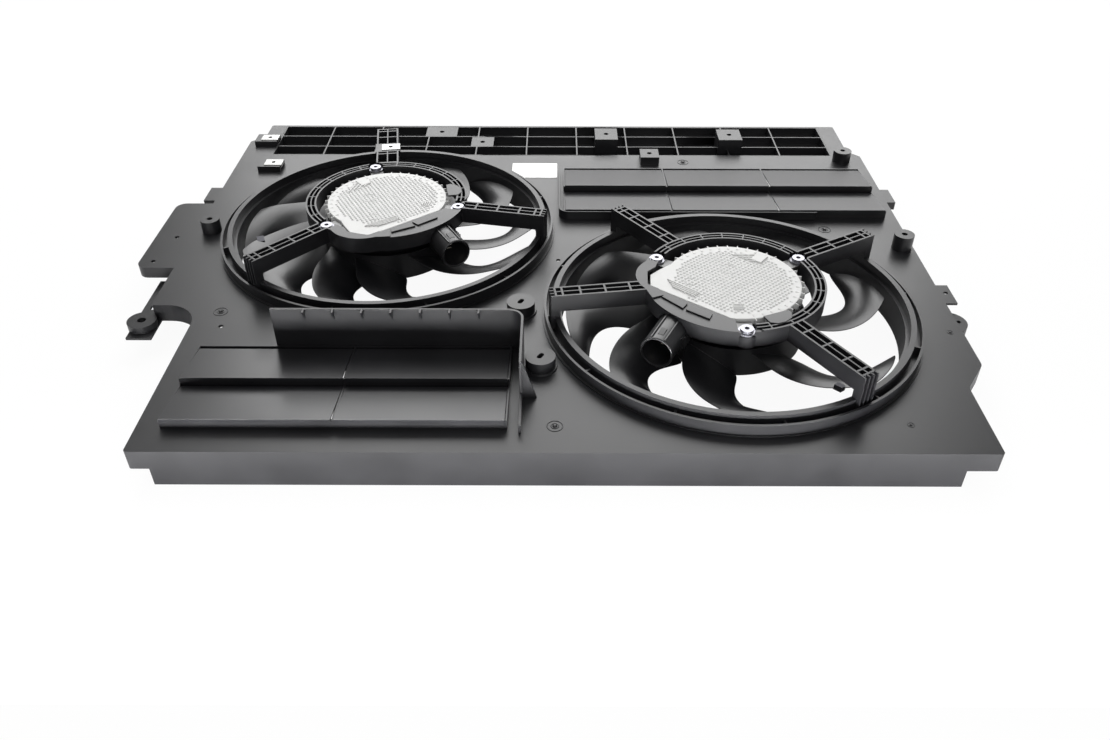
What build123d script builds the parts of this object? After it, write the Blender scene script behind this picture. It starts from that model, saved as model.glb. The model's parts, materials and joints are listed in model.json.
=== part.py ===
from build123d import *

# Twin-fan radiator shroud, in millimetres: a moulded panel with two ring
# openings, an electric fan on a spider carrier in each, and ten hinged flaps.
# Modelling frame: x to the right, y back from the front edge, z up from the
# plate's top face. write_nodes moves every piece to the frame whose origin is
# the bottom centre of the whole part.

import os
from math import cos, radians, sin

os.makedirs("parts", exist_ok=True)

# Panel plate and its outline
PLATE = 2.5
DEPTH = 687.0
FRONT_LEFT, FRONT_RIGHT = -371.0, 387.0
LEFT, RIGHT = -423.0, 411.5
REAR_LEFT, REAR_RIGHT = -406.0, 397.0
LEFT_NOTCH_Y, LEFT_NOTCH_R = 225.0, 35.0
RIGHT_NOTCH_Y, RIGHT_NOTCH_RUN = 91.0, 35.0
RIGHT_STEP_Y = 590.0
LEFT_STEP_Y = 632.0
EAR_LEFT, EAR_FRONT_Y, EAR_REAR_Y = -466.0, 299.0, 450.0
EAR_R = 12.0
CORNER_R = 3.0
# How far a cutting tool runs past the face it opens
OVER = 1.0

# Skirts under the plate
WALL = 2.5
SKIRT = 20.0
DEEP_SKIRT = 39.0
EAR_SKIRT = 13.0
DEEP_LEFT, DEEP_RIGHT = -353.0, 359.0
DEEP_RETURN = 18.0

# Fan openings: centres and the ring profile
RIGHT_FAN = (180.0, 213.0)
LEFT_FAN = (-194.5, 386.0)
RING_BORE = 174.0
RING_WALL = 3.5
RING_DROP = 22.0
RING_STEP_Z = 8.0
LIP_BAND = 5.5
LIP_TOP = 17.0
CHANNEL = 6.0
CHANNEL_FLOOR = 3.0
RIM_WALL = 2.5
RIM_TOP = 12.5
RING_FOOT = 1.8
RING_RIBS = 12
RING_RIB = 2.0
LEFT_RING_PHASE, RIGHT_RING_PHASE = 19.4, 6.7

# Motor carriers: hub ring and ladder arms
CARRIER_TOP = 43.0
CARRIER_HEIGHT = 18.0
HUB_R = 92.0
HUB_BAND = 12.0
LADDER_WALL = 2.0
LADDER_MID = 1.4
LADDER_FLOOR = 2.0
HUB_RIB_STEP = 15
# Round bulge of the hub ring beside the cover's lobe: centre x, y, radius
BULGE = (-60.0, 4.0, 38.5)
ARM_WIDTH = 17.0
ARM_END = LIP_BAND + RING_WALL + RING_BORE
RUNG_PITCH = 25.0
POST_DEPTH = 7.0
RIGHT_ARMS = (30.5, 126.0, 188.3, 301.5)
LEFT_ARMS = (-11.5, 228.0)
WIDE_ARM = 97.8
WIDE_ARM_WIDTH = 27.0
WIDE_ARM_EXTRA = 10.0

# Motor: cover outline in the right motor's own frame
COVER_R = 68.0
LOBE = ((-46.5, 34.0), (-61.8, 30.9), (-72.5, 21.7), (-83.2, 11.0), (-84.8, -12.0))
CHORD_LEFT, CHORD_RIGHT = (-72.5, -19.6), (-15.9, -64.0)
COVER_TOP = 40.0
COVER_WALL = 2.4
SEAL = 0.8
BASE_TOP = 32.0
BASE_THICK = 8.0
BASE_RIM = 2.0
BASE_GAP = 1.0
SILL_TOP = 41.5
LID = 3.0
LID_SECTOR = (157.0, 203.0)
BOARD = 1.6
BOARD_STAND = 1.4
BOARD_POST_R, BOARD_POST_PLACE = 2.8, 40.8
BOARD_POST_ANGLES = (10, 100, 190, 290)
CAPACITOR_R, CAPACITOR_PLACE = 3.5, 47.6
CAPACITOR_ANGLES = (30, 60, 90, 120)
DRIVER_CHIP = 16.0
LEFT_TURN = 77.5

# Motor screws, lugs and their pads
SCREW_CIRCLE = 85.5
SCREW_ANGLES = (30.0, 150.0, 270.0)
SCREW_R = 3.0
SCREW_LENGTH = 11.0
SCREW_FLANGE_R, SCREW_FLANGE = 8.5, 1.8
SCREW_HEAD_R, SCREW_HEAD = 6.4, 4.6
SOCKET_R = 2.6
LUG_R = 7.5
LUG_TOP, LUG = 37.0, 7.0
PAD_R = 10.0
PAD_GAP = 1.3

# Connector axis in the motor's own frame: start x, start y, direction
RIGHT_PLUG = (-58.2, -44.6, 243.4)
LEFT_PLUG = (-26.3, -64.3, 221.9)
PLUG_Z = 22.0
PLUG_R = 16.0
PLUG_WALL = 2.0
PLUG_START, PLUG_END = 12.0, 60.0
PLUG_FLOOR = 5.0
PLUG_GAP = 1.5
ROOT_WIDTH, ROOT_DROP, ROOT_TAIL = 22.0, 7.0, 10.0
PIN_SPREAD = 7.0
PIN_REACH = 22.0
POWER_PIN = (6.3, 0.8)
SIGNAL_PIN = (0.8, 0.8)

# Stator and bearings
TUBE_R, TUBE_END = 14.0, -12.0
BEARING_R, BEARING = 11.0, 7.0
LOW_BEARING_Z, HIGH_BEARING_Z = -11.0, 12.0
STATOR_R = 48.0
STATOR_LOW, STATOR_HIGH = -10.0, 12.0
YOKE = 8.0
TEETH = 12
TOOTH = 6.0
SHOE = 3.5
# Half width of the slots between teeth and between magnets
SLOT_HALF = 1.0
COIL = 3.0

# Rotor: shaft, bell, magnets and fan wheel
SHAFT_R = 4.0
SHAFT_TOP = 21.0
RUN_GAP = 0.06
AIR_GAP = 1.0
MAGNET = 3.0
MAGNETS = 14
BELL_WALL = 2.5
BELL_TOP = 15.0
BELL_BOSS_R = 9.0
BELL_BOSS_TOP = -13.0
CUP_R = 76.0
CUP_WALL = 2.2
CUP_TOP = 9.0
CUP_LOW = -20.0
BLADE_TIP = 169.0
BLADE_THICK = 2.6
BLADE_Z = -8.0
# Blade stations: radius, sweep angle, chord, pitch
BLADE_STATIONS = (
    (73.0, 0.0, 62.0, 26.0),
    (97.0, 2.8, 57.0, 20.0),
    (120.0, 6.5, 53.0, 17.0),
    (133.0, 11.0, 55.0, 16.0),
    (146.0, 19.0, 70.0, 15.0),
    (160.0, 29.0, 90.0, 14.0),
    (173.0, 35.0, 84.0, 14.0),
)
BLADE_CAMBER = 0.05
# Blade root angles, unevenly spaced as in the photo's visible gaps
RIGHT_BLADES = (-7.0, 35.6, 78.2, 120.8, 163.4, 206.0, 248.0, 298.0)
LEFT_BLADES = (-15.0, 18.0, 51.0, 84.0, 117.0, 150.0, 183.0, 208.5, 239.5, 268.5, 314.0)
CLIP_STATION = 4
RIGHT_CLIP_ANGLE, LEFT_CLIP_ANGLE = 298.0, 183.0
CLIP_SIZE = (9.0, 5.0, 8.0)

# Flap banks: left and right ends, rear edge, row pitch, columns
LOWER_BANK = (-347.0, -44.0, 145.0, 58.4, 2)
UPPER_BANK = (12.0, 395.6, 540.0, 63.0, 3)
FLAP_ROWS = 2
FLAP_TOP = 12.0
FLAP = 1.8
FLAP_LIP = 4.0
BARREL_R = 1.8
BARREL_LIFT = 0.2
HINGE_PIN_R = 0.9
PARTITION = 1.6
FLAP_SIDE_GAP = 0.4
FLAP_FRONT_GAP = 2.6
SEAT_GAP = 0.3
SEAT_DROP = 0.5
WINDOW_MARGIN = 3.0
WINDOW_LEDGE = 1.0

# Walls round the flap banks
SHIELD_WALL = 2.5
SHIELD_HEIGHT = 46.0
SHIELD_LEFT, SHIELD_RIGHT = -273.0, -31.0
SHIELD_Y, SHIELD_FRONT_Y = 151.6, 69.0
SHIELD_R = 15.0
GUSSETS = 7
GUSSET_PITCH = 31.4
GUSSET_DROP, GUSSET_REACH = 12.0, 6.0
STAY_REACH = 14.5
LOW_WALL_TOP, LOW_WALL_FRONT_Y = 10.0, 25.0
RIM_LEFT, RIM_RIGHT = 4.0, 313.0
RIM_Y = 411.0
BANK_RIM_TOP = 11.0
BANK_RIM_R = 12.0

# Rear rib grid
GRID_LEFT, GRID_RIGHT = -384.5, 373.6
GRID_FRONT_Y = 590.0
GRID_DEPTH = 13.0
GRID_FLOOR = 2.0
GRID_RIB = 2.0
GRID_CELLS = 11
GRID_RIB_Y = (617.0, 650.0)
# Pads in the grid: centre x, centre y, width, depth, height above the plate
GRID_PADS = (
    (-161.0, 667.0, 44.0, 34.0, 0.0),
    (-101.5, 633.5, 31.0, 31.0, 0.0),
    (69.5, 631.5, 31.0, 37.0, 13.0),
    (238.0, 625.5, 32.0, 35.0, 15.0),
)
PAD_BORE_R = 3.2
PANEL_PAD = (125.0, 575.0, 24.5, 26.0, 10.7)

# Round bosses on the plate: x, y, radius, height, bore radius
BOSSES = (
    (-404.0, 382.0, 11.0, 16.0, 3.3),
    (383.0, 578.0, 11.5, 14.0, 3.3),
    (397.5, 347.5, 11.2, 18.0, 3.3),
)
OVAL_BOSSES = ((-35.4, 215.0), (-13.9, 121.6))
OVAL_BOSS_R, OVAL_BOSS_TOP, OVAL_SLOT_TURN = 14.5, 13.0, 60.0
SLOT_LENGTH, SLOT_WIDTH = 9.0, 5.0
PLATE_HOLES = ((-339.0, 187.0), (3.3, 318.0))
EAR_HOLES = ((-450.5, 313.0), (-441.0, 367.0))
PLATE_HOLE_R = 2.5

# Side lugs: flange and hook on the left, tab and boss on the right, pegs
FLANGE_LEFT, FLANGE_FRONT_Y = -442.0, 190.0
FLANGE_SLOT_Y = 255.5
HOOK_X, HOOK_Y, HOOK_R, HOOK_BORE_R = -431.0, 212.0, 15.0, 4.5
TAB_RIGHT, TAB_FRONT_Y, TAB_REAR_Y = 424.0, 233.0, 268.0
TAB_BOSS_Y, TAB_BOSS_R = 213.0, 18.0
PEG_REACH_LEFT, PEG_REACH_RIGHT = 22.0, 18.5
PEG_FRONT_Y, PEG_REAR_Y = 477.0, 512.0
PEG_TOP, PEG = -10.0, 10.0

# Clip pads and their spring nuts: tongue that the nut slides over
TONGUE = 2.5
CLIP_PAD = (30.0, 24.0, 7.0)
CLIP_SIDE = 2.5
NUT = (22.0, 16.0)
NUT_STRIP = 0.8
NUT_COLLAR_R, NUT_COLLAR = 4.0, 3.2
NUT_BORE_R = 2.6
CLIP_PLACES = ((-398.0, 629.0), (-375.0, 551.0))
ARM_CLIP_R = 135.0

# Blank label
LABEL = (-57.0, 2.0, 523.0, 565.0)
LABEL_THICK = 0.4

# Values worked out from those above
ARM_LOW = CARRIER_TOP - CARRIER_HEIGHT
HUB_INNER = HUB_R - HUB_BAND
RING_HOLE = RING_BORE + RING_WALL
RING_OUTER = RING_HOLE + LIP_BAND + CHANNEL + RIM_WALL
FOOT_R = RING_OUTER + RING_FOOT
BASE_LOW = BASE_TOP - BASE_THICK
COVER_LOW = BASE_TOP + SEAL
BELL_INNER = STATOR_R + AIR_GAP + MAGNET
BARREL_Z = BARREL_R + BARREL_LIFT
MID_X = (EAR_LEFT + RIGHT + PEG_REACH_RIGHT) / 2
SHELF_FRAME = Pos(-MID_X, -DEPTH / 2, DEEP_SKIRT)


def block(x0, x1, y0, y1, z0, z1):
    """Box between two opposite corners."""
    middle = Pos((x0 + x1) / 2, (y0 + y1) / 2, (z0 + z1) / 2)
    return middle * Box(x1 - x0, y1 - y0, z1 - z0)


def disc(radius, z0, z1):
    """Upright cylinder on the z axis."""
    foot = (Align.CENTER, Align.CENTER, Align.MIN)
    return Pos(0, 0, z0) * Cylinder(radius, z1 - z0, align=foot)


def tube(outer, inner, z0, z1):
    """Upright tube on the z axis."""
    return disc(outer, z0, z1) - disc(inner, z0, z1)


def prism(face, z0, z1):
    """Flat face drawn on the ground, raised between two heights."""
    return extrude(Pos(0, 0, z0) * face, z1 - z0, dir=(0, 0, 1))


def spun(points):
    """Ring turned about z from (radius, height) points."""
    return revolve(Plane.XZ * make_face(Polyline(*points, close=True)), axis=Axis.Z)


def side_prism(points, x0, x1):
    """Solid with a (y, z) outline, run from x0 to x1."""
    face = Plane.YZ * make_face(Polyline(*points, close=True))
    return extrude(Pos(x0, 0, 0) * face, x1 - x0, dir=(1, 0, 0))


def rounded_outline(corners):
    """Face with straight sides through (x, y, corner radius) points."""
    points = [(x, y) for x, y, _ in corners]
    return make_face(FilletPolyline(*points, radius=[r for _, _, r in corners], close=True))


def apart(shapes):
    """Shapes in one node that stay separate solids, also where they touch."""
    return Compound([solid for shape in shapes for solid in shape.solids()])


def turned(angle, shape):
    """Shape turned about the z axis."""
    return Rot(0, 0, angle) * shape


def main_outline():
    """Outline of the plate without its ear."""
    return rounded_outline((
        (FRONT_LEFT, 0, CORNER_R),
        (FRONT_RIGHT, 0, CORNER_R),
        (FRONT_RIGHT, RIGHT_NOTCH_Y, EAR_R),
        (RIGHT, RIGHT_NOTCH_Y + RIGHT_NOTCH_RUN, EAR_R),
        (RIGHT, RIGHT_STEP_Y, CORNER_R),
        (REAR_RIGHT, RIGHT_STEP_Y + RIGHT - REAR_RIGHT, CORNER_R),
        (REAR_RIGHT, DEPTH, CORNER_R),
        (REAR_LEFT, DEPTH, CORNER_R),
        (REAR_LEFT, LEFT_STEP_Y + REAR_LEFT - LEFT, CORNER_R),
        (LEFT, LEFT_STEP_Y, CORNER_R),
        (LEFT, LEFT_NOTCH_Y, CORNER_R),
        (FRONT_LEFT, LEFT_NOTCH_Y, LEFT_NOTCH_R),
    ))


def ear():
    """Fastening ear on the left side with its shallow skirt."""
    outline = rounded_outline((
        (LEFT, EAR_FRONT_Y, 0),
        (LEFT, EAR_REAR_Y, 0),
        (EAR_LEFT, EAR_REAR_Y, EAR_R),
        (EAR_LEFT, EAR_FRONT_Y, EAR_R),
    ))
    skirt = outline - offset(outline, -WALL)
    piece = prism(outline, -PLATE, 0) + prism(skirt, -EAR_SKIRT, 0)
    for x, y in EAR_HOLES:
        piece -= Pos(x, y, 0) * disc(PLATE_HOLE_R, -2 * PLATE, PLATE)
    return piece


def deep_skirt(y0, y1, inward, return_top):
    """Deep front or rear wall with a return at each end."""
    wall = block(DEEP_LEFT, DEEP_RIGHT, y0, y1, -DEEP_SKIRT, -PLATE)
    r0, r1 = sorted((y0 if inward > 0 else y1, y0 + inward * DEEP_RETURN))
    for x in (DEEP_LEFT, DEEP_RIGHT - WALL):
        wall += block(x, x + WALL, r0, r1, -DEEP_SKIRT, return_top)
    return wall


def rear_skirt():
    """Deep rear wall, with the band that closes the plate behind the grid."""
    band = block(GRID_LEFT, GRID_RIGHT, DEPTH - WALL, DEPTH, -PLATE, 0)
    return deep_skirt(DEPTH - WALL, DEPTH, -1, -GRID_DEPTH) + band


def side_skirts():
    """Shallow left and right skirts, each from one end of the deep walls to the other."""
    outline = main_outline()
    skirt = prism(outline - offset(outline, -WALL), -SKIRT, -PLATE)
    return skirt - block(DEEP_LEFT, DEEP_RIGHT, -OVER, DEPTH + OVER, -DEEP_SKIRT, 0)


def side_lugs():
    """Flange with hook, tab, boss and pegs, each a solid against the side of the skirt."""
    flange = block(FLANGE_LEFT, LEFT, LEFT_NOTCH_Y, EAR_FRONT_Y, -SKIRT, -SKIRT + PLATE)
    flange += block(FLANGE_LEFT, HOOK_X + HOOK_R, FLANGE_FRONT_Y, LEFT_NOTCH_Y + WALL,
                    -SKIRT, -SKIRT + PLATE)
    flange += Pos(HOOK_X, HOOK_Y, 0) * disc(HOOK_R, -SKIRT, -SKIRT / 2)
    slot = Rot(0, 0, 90) * SlotOverall(3 * SLOT_LENGTH, SLOT_WIDTH)
    slot_x = (FLANGE_LEFT + LEFT) / 2
    flange -= prism(Pos(slot_x, FLANGE_SLOT_Y, 0) * slot, -2 * SKIRT, 0)
    flange -= Pos(HOOK_X, HOOK_Y, 0) * disc(HOOK_BORE_R, -2 * SKIRT, 0)
    tab = block(RIGHT - WALL, TAB_RIGHT, TAB_FRONT_Y, TAB_REAR_Y, -PLATE, 0)
    tab_hole = Pos(RIGHT + (TAB_RIGHT - RIGHT) / 2, TAB_REAR_Y - 3 * SLOT_WIDTH, 0)
    tab -= tab_hole * disc(PLATE_HOLE_R, -2 * PLATE, PLATE)
    boss = Pos(RIGHT, TAB_BOSS_Y, 0) * disc(TAB_BOSS_R, -SKIRT, -SKIRT / 2)
    boss -= Pos(RIGHT + TAB_BOSS_R / 2, TAB_BOSS_Y, 0) * disc(SLOT_WIDTH / 2, -SKIRT, 0)
    left_peg = block(LEFT - PEG_REACH_LEFT, LEFT + WALL, PEG_FRONT_Y, PEG_REAR_Y,
                     PEG_TOP - PEG, PEG_TOP)
    right_peg = block(RIGHT - WALL, RIGHT + PEG_REACH_RIGHT, PEG_FRONT_Y, PEG_REAR_Y,
                      PEG_TOP - PEG, PEG_TOP)
    lugs = flange + tab + boss + left_peg + right_peg
    return lugs - prism(main_outline(), -DEEP_SKIRT, OVER)


def clip_pad():
    """Raised pad with a tongue, its top at z = 0 and open towards +x."""
    length, width, height = CLIP_PAD
    half = length / 2
    side = width / 2
    pad = block(-half, half, -side, side, -height, 0)
    pad -= block(-half + 2 * CLIP_SIDE, half + OVER, CLIP_SIDE - side, side - CLIP_SIDE,
                 -height, -TONGUE)
    return pad - Pos(half - NUT[0] / 2, 0, 0) * disc(NUT_BORE_R + SEAT_GAP, -TONGUE, 0)


def clip_nut():
    """Folded spring nut that grips the tongue of a clip pad."""
    length, width = NUT
    edge = CLIP_PAD[0] / 2
    left = edge - length
    low = -TONGUE - NUT_STRIP
    nut = block(left, edge + NUT_STRIP, -width / 2, width / 2, 0, NUT_STRIP)
    nut += block(left, edge + NUT_STRIP, -width / 2, width / 2, low, -TONGUE)
    nut += block(edge, edge + NUT_STRIP, -width / 2, width / 2, low, NUT_STRIP)
    bore = Pos(edge - length / 2, 0, 0)
    nut += bore * disc(NUT_COLLAR_R, low - NUT_COLLAR, low)
    return nut - bore * disc(NUT_BORE_R, low - NUT_COLLAR - OVER, 2 * NUT_STRIP)


def bank_columns(bank):
    """Left and right ends of each flap in one row of a bank."""
    left, right, _, _, columns = bank
    gap = PARTITION + 2 * FLAP_SIDE_GAP
    length = (right - left - (columns - 1) * gap) / columns
    return [(left + i * (length + gap), left + i * (length + gap) + length) for i in range(columns)]


def bank_rows(bank):
    """Hinge axis and front face of each row of a bank."""
    _, _, rear, pitch, _ = bank
    axes = [rear - BARREL_R - i * pitch for i in range(FLAP_ROWS)]
    return [(axis, axis - pitch + FLAP_FRONT_GAP) for axis in axes]


def seat_top():
    """Height of the wall that a closed flap rests over."""
    return FLAP_TOP - FLAP - SEAT_DROP


def flap_windows(bank):
    """Holes in the plate under the flaps of a bank."""
    holes = None
    for axis, front in bank_rows(bank):
        for x0, x1 in bank_columns(bank):
            wall = front + FLAP + SEAT_GAP + PARTITION
            hole = block(x0 + WINDOW_MARGIN, x1 - WINDOW_MARGIN, wall + WINDOW_LEDGE,
                         axis - WINDOW_MARGIN, -2 * PLATE, PLATE)
            holes = hole if holes is None else holes + hole
    return holes


def vent_frame(bank):
    """Low walls that carry the flaps of a bank: fronts, partitions and ears."""
    columns = bank_columns(bank)
    left, right = bank[0], bank[1]
    outer_left = left - FLAP_SIDE_GAP - PARTITION
    outer_right = right + FLAP_SIDE_GAP + PARTITION
    top = BARREL_Z + BARREL_R
    frame = None
    for axis, front in bank_rows(bank):
        wall = front + FLAP + SEAT_GAP
        rear = axis + FLAP_FRONT_GAP + FLAP + SEAT_GAP
        pieces = [block(outer_left, outer_right, wall, wall + PARTITION, 0, seat_top())]
        if frame is None:
            pieces.append(block(outer_left, outer_right, rear, rear + PARTITION, 0, top))
        outline = ((rear + PARTITION / 2, 0), (rear + PARTITION / 2, top), (axis, top),
                   (wall, seat_top()), (wall, 0))
        starts = [outer_left] + [x1 + FLAP_SIDE_GAP for _, x1 in columns]
        for x in starts:
            pieces.append(side_prism(outline, x, x + PARTITION))
        row = pieces[0]
        for piece in pieces[1:]:
            row += piece
        pivot = Pos((left + right) / 2, axis, BARREL_Z) * Rot(0, 90, 0)
        row -= pivot * Cylinder(HINGE_PIN_R + RUN_GAP, outer_right - outer_left + 2 * OVER)
        frame = row if frame is None else frame + row
    return frame


def flap(x0, x1, axis, front):
    """One closed flap with its barrel and the two stub pins it turns on."""
    rear_top = BARREL_Z + BARREL_R
    outline = ((axis, rear_top), (front, FLAP_TOP), (front, FLAP_TOP - FLAP_LIP),
               (front + FLAP, FLAP_TOP - FLAP_LIP), (front + FLAP, FLAP_TOP - FLAP),
               (axis, rear_top - FLAP))
    body = side_prism(outline, x0, x1)
    spindle = Pos((x0 + x1) / 2, axis, BARREL_Z) * Rot(0, 90, 0)
    body += spindle * Cylinder(BARREL_R, x1 - x0)
    reach = FLAP_SIDE_GAP + PARTITION / 2 - RUN_GAP
    return body + spindle * Cylinder(HINGE_PIN_R, x1 - x0 + 2 * reach)


def shroud_panel():
    """Flat plate with its openings, cut back to the rear edge where the grid lies."""
    plate = prism(main_outline(), -PLATE, 0)
    for x, y in (LEFT_FAN, RIGHT_FAN):
        plate -= Pos(x, y, 0) * disc(RING_HOLE, -2 * PLATE, PLATE)
    plate -= block(GRID_LEFT, GRID_RIGHT, GRID_FRONT_Y, DEPTH + OVER, -2 * PLATE, PLATE)
    plate -= flap_windows(LOWER_BANK)
    plate -= flap_windows(UPPER_BANK)
    for x, y in PLATE_HOLES:
        plate -= Pos(x, y, 0) * disc(PLATE_HOLE_R, -2 * PLATE, PLATE)
    return plate


def plate_bosses():
    """Round bosses, oval bosses and the square pad, each a solid on top of the plate."""
    bosses = []
    for x, y, radius, height, bore in BOSSES:
        bosses.append(Pos(x, y, 0) * tube(radius, bore, 0, height))
    for x, y in OVAL_BOSSES:
        slot = turned(OVAL_SLOT_TURN, SlotOverall(SLOT_LENGTH, SLOT_WIDTH))
        boss = disc(OVAL_BOSS_R, 0, OVAL_BOSS_TOP) - prism(slot, -OVER, OVAL_BOSS_TOP + OVER)
        bosses.append(Pos(x, y, 0) * boss)
    x, y, width, depth, height = PANEL_PAD
    pad = block(-width / 2, width / 2, -depth / 2, depth / 2, 0, height)
    bosses.append(Pos(x, y, 0) * (pad - disc(PAD_BORE_R, -OVER, height + OVER)))
    return apart(bosses)


def clip_pads():
    """Pads for the spring nuts: two on the plate and one on the wide arm."""
    pads = [Pos(x, y, CLIP_PAD[2]) * clip_pad() for x, y in CLIP_PLACES]
    pads.append(Pos(*LEFT_FAN, 0) * turned(WIDE_ARM, arm_clip(clip_pad())))
    return apart(pads)


def pad_block(pad, z0, z1):
    """Outer block of one grid pad between two heights."""
    x, y, width, depth, _ = pad
    rear = min(y + depth / 2, DEPTH - WALL)
    return block(x - width / 2, x + width / 2, y - depth / 2, rear, z0, z1)


def rear_rib_grid():
    """Recessed band of closed cells along the rear edge, divided beside each pad."""
    rear = DEPTH - WALL
    low = -GRID_DEPTH
    grid = block(GRID_LEFT, GRID_RIGHT, GRID_FRONT_Y, rear, low, low + GRID_FLOOR)
    pitch = (GRID_RIGHT - GRID_LEFT - GRID_RIB) / GRID_CELLS
    for i in range(GRID_CELLS + 1):
        x = GRID_LEFT + i * pitch
        grid += block(x, x + GRID_RIB, GRID_FRONT_Y, rear, low, 0)
    for y in (GRID_FRONT_Y, *GRID_RIB_Y, rear - GRID_RIB):
        grid += block(GRID_LEFT, GRID_RIGHT, y, y + GRID_RIB, low, 0)
    for pad in GRID_PADS:
        grid -= pad_block(pad, low, 0)
    cuts = sorted(x + side * width / 2 for x, _, width, _, _ in GRID_PADS for side in (-1, 1))
    bays = []
    for x0, x1 in zip((GRID_LEFT, *cuts), (*cuts, GRID_RIGHT)):
        bays.append(grid & block(x0, x1, GRID_FRONT_Y, rear, low, 0))
    return apart(bays)


def grid_pads():
    """Screw pads that stand in the grid, flush with it or raised."""
    low = -GRID_DEPTH
    pads = []
    for pad in GRID_PADS:
        x, y, _, _, height = pad
        bore = Pos(x, y, 0) * disc(PAD_BORE_R, low + GRID_FLOOR, height + OVER)
        pads.append(pad_block(pad, low, height) - bore)
    return apart(pads)


def vent_shield():
    """Tall thin wall round the rear right corner of the lower flap bank."""
    middle = SHIELD_WALL / 2
    outer = rounded_outline((
        (SHIELD_LEFT, SHIELD_Y - middle, 0),
        (SHIELD_RIGHT - middle, SHIELD_Y - middle, SHIELD_R - SHIELD_WALL),
        (SHIELD_RIGHT - middle, SHIELD_FRONT_Y, 0),
        (SHIELD_RIGHT + middle, SHIELD_FRONT_Y, 0),
        (SHIELD_RIGHT + middle, SHIELD_Y + middle, SHIELD_R),
        (SHIELD_LEFT, SHIELD_Y + middle, 0),
    ))
    shield = prism(outer, 0, SHIELD_HEIGHT)
    front = SHIELD_Y - middle
    rib = ((front + middle, SHIELD_HEIGHT), (front - GUSSET_REACH, SHIELD_HEIGHT),
           (front, SHIELD_HEIGHT - GUSSET_DROP), (front + middle, SHIELD_HEIGHT - GUSSET_DROP))
    first = SHIELD_LEFT + GUSSET_PITCH
    for i in range(GUSSETS):
        x = first + i * (SHIELD_RIGHT - SHIELD_R - first) / GUSSETS
        shield += side_prism(rib, x, x + LADDER_WALL)
    stay_y = SHIELD_FRONT_Y + 2 * SHIELD_WALL
    stay_face = Plane.XZ * make_face(Polyline(
        (SHIELD_RIGHT, 0), (SHIELD_RIGHT + STAY_REACH, 0), (SHIELD_RIGHT, SHIELD_HEIGHT),
        close=True))
    shield += extrude(Pos(0, stay_y, 0) * stay_face, SHIELD_WALL, dir=(0, 1, 0))
    return shield + block(SHIELD_RIGHT - middle, SHIELD_RIGHT + middle, LOW_WALL_FRONT_Y,
                          SHIELD_FRONT_Y + SHIELD_WALL, 0, LOW_WALL_TOP)


def upper_rim():
    """Low wall along the left and front sides of the upper flap bank."""
    rear = UPPER_BANK[2]
    wall = rounded_outline((
        (RIM_LEFT, rear, 0),
        (RIM_LEFT, RIM_Y, BANK_RIM_R),
        (RIM_RIGHT, RIM_Y, 0),
        (RIM_RIGHT, RIM_Y + PARTITION, 0),
        (RIM_LEFT + PARTITION, RIM_Y + PARTITION, BANK_RIM_R - PARTITION),
        (RIM_LEFT + PARTITION, rear, 0),
    ))
    return prism(wall, 0, BANK_RIM_TOP)


def fan_ring(rib_phase):
    """Double-walled ring round a fan, with ribs across its channel."""
    lip = RING_HOLE + LIP_BAND
    ring = spun((
        (RING_BORE, -RING_DROP), (RING_HOLE, -RING_DROP), (RING_HOLE, 0), (FOOT_R, 0),
        (FOOT_R, RING_FOOT), (RING_OUTER, RING_FOOT), (RING_OUTER, RIM_TOP),
        (RING_OUTER - RIM_WALL, RIM_TOP), (RING_OUTER - RIM_WALL, CHANNEL_FLOOR),
        (lip, CHANNEL_FLOOR), (lip, LIP_TOP), (RING_HOLE, LIP_TOP),
        (RING_HOLE, RING_STEP_Z), (RING_BORE, RING_STEP_Z),
    ))
    for i in range(RING_RIBS):
        rib = block(lip - OVER, RING_OUTER - OVER, -RING_RIB / 2, RING_RIB / 2,
                    CHANNEL_FLOOR - OVER, RIM_TOP - OVER)
        ring += turned(rib_phase + i * 360 / RING_RIBS, rib)
    return ring


def ladder_arm(width, end):
    """Arm along +x from the hub ring, open on top, with its post on the ring."""
    start = HUB_R - LADDER_WALL / 2
    half = width / 2
    arm = block(start, end, -half, half, ARM_LOW, ARM_LOW + LADDER_FLOOR)
    for y in (-half, half - LADDER_WALL):
        arm += block(start, end, y, y + LADDER_WALL, ARM_LOW, CARRIER_TOP)
    arm += block(start, end, -LADDER_MID / 2, LADDER_MID / 2, ARM_LOW, CARRIER_TOP)
    rungs = int((end - start) / RUNG_PITCH)
    for i in range(rungs + 1):
        x = end - LADDER_WALL - i * RUNG_PITCH
        arm += block(x, x + LADDER_WALL, -half, half, ARM_LOW, CARRIER_TOP)
    x = end - POST_DEPTH - LADDER_WALL
    arm += block(x, x + LADDER_WALL, -half, half, ARM_LOW, CARRIER_TOP)
    post = block(ARM_END - LIP_BAND, ARM_END - LIP_BAND / 2, -half, half, LIP_TOP, ARM_LOW)
    for y in (-half, -LADDER_WALL / 2, half - LADDER_WALL):
        post += block(ARM_END - LIP_BAND, ARM_END, y, y + LADDER_WALL, LIP_TOP, ARM_LOW)
    return arm + post


def cover_face():
    """Outline of the electronics cover: disc, lobe and straight chord."""
    body = Circle(COVER_R) + make_face(Polyline((0, 0), *LOBE, CHORD_LEFT, CHORD_RIGHT, close=True))
    return body - chord_region(0)


def chord_region(margin):
    """Half disc beyond the cover's straight side, moved out by a margin."""
    start, end = Vector(*CHORD_LEFT), Vector(*CHORD_RIGHT)
    along = (end - start).normalized()
    out = Vector(along.Y, -along.X)
    a = start - along * COVER_R + out * margin
    b = end + along * COVER_R + out * margin
    c, d = b + out * COVER_R, a + out * COVER_R
    return make_face(Polyline((a.X, a.Y), (b.X, b.Y), (c.X, c.Y), (d.X, d.Y), close=True))


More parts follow.
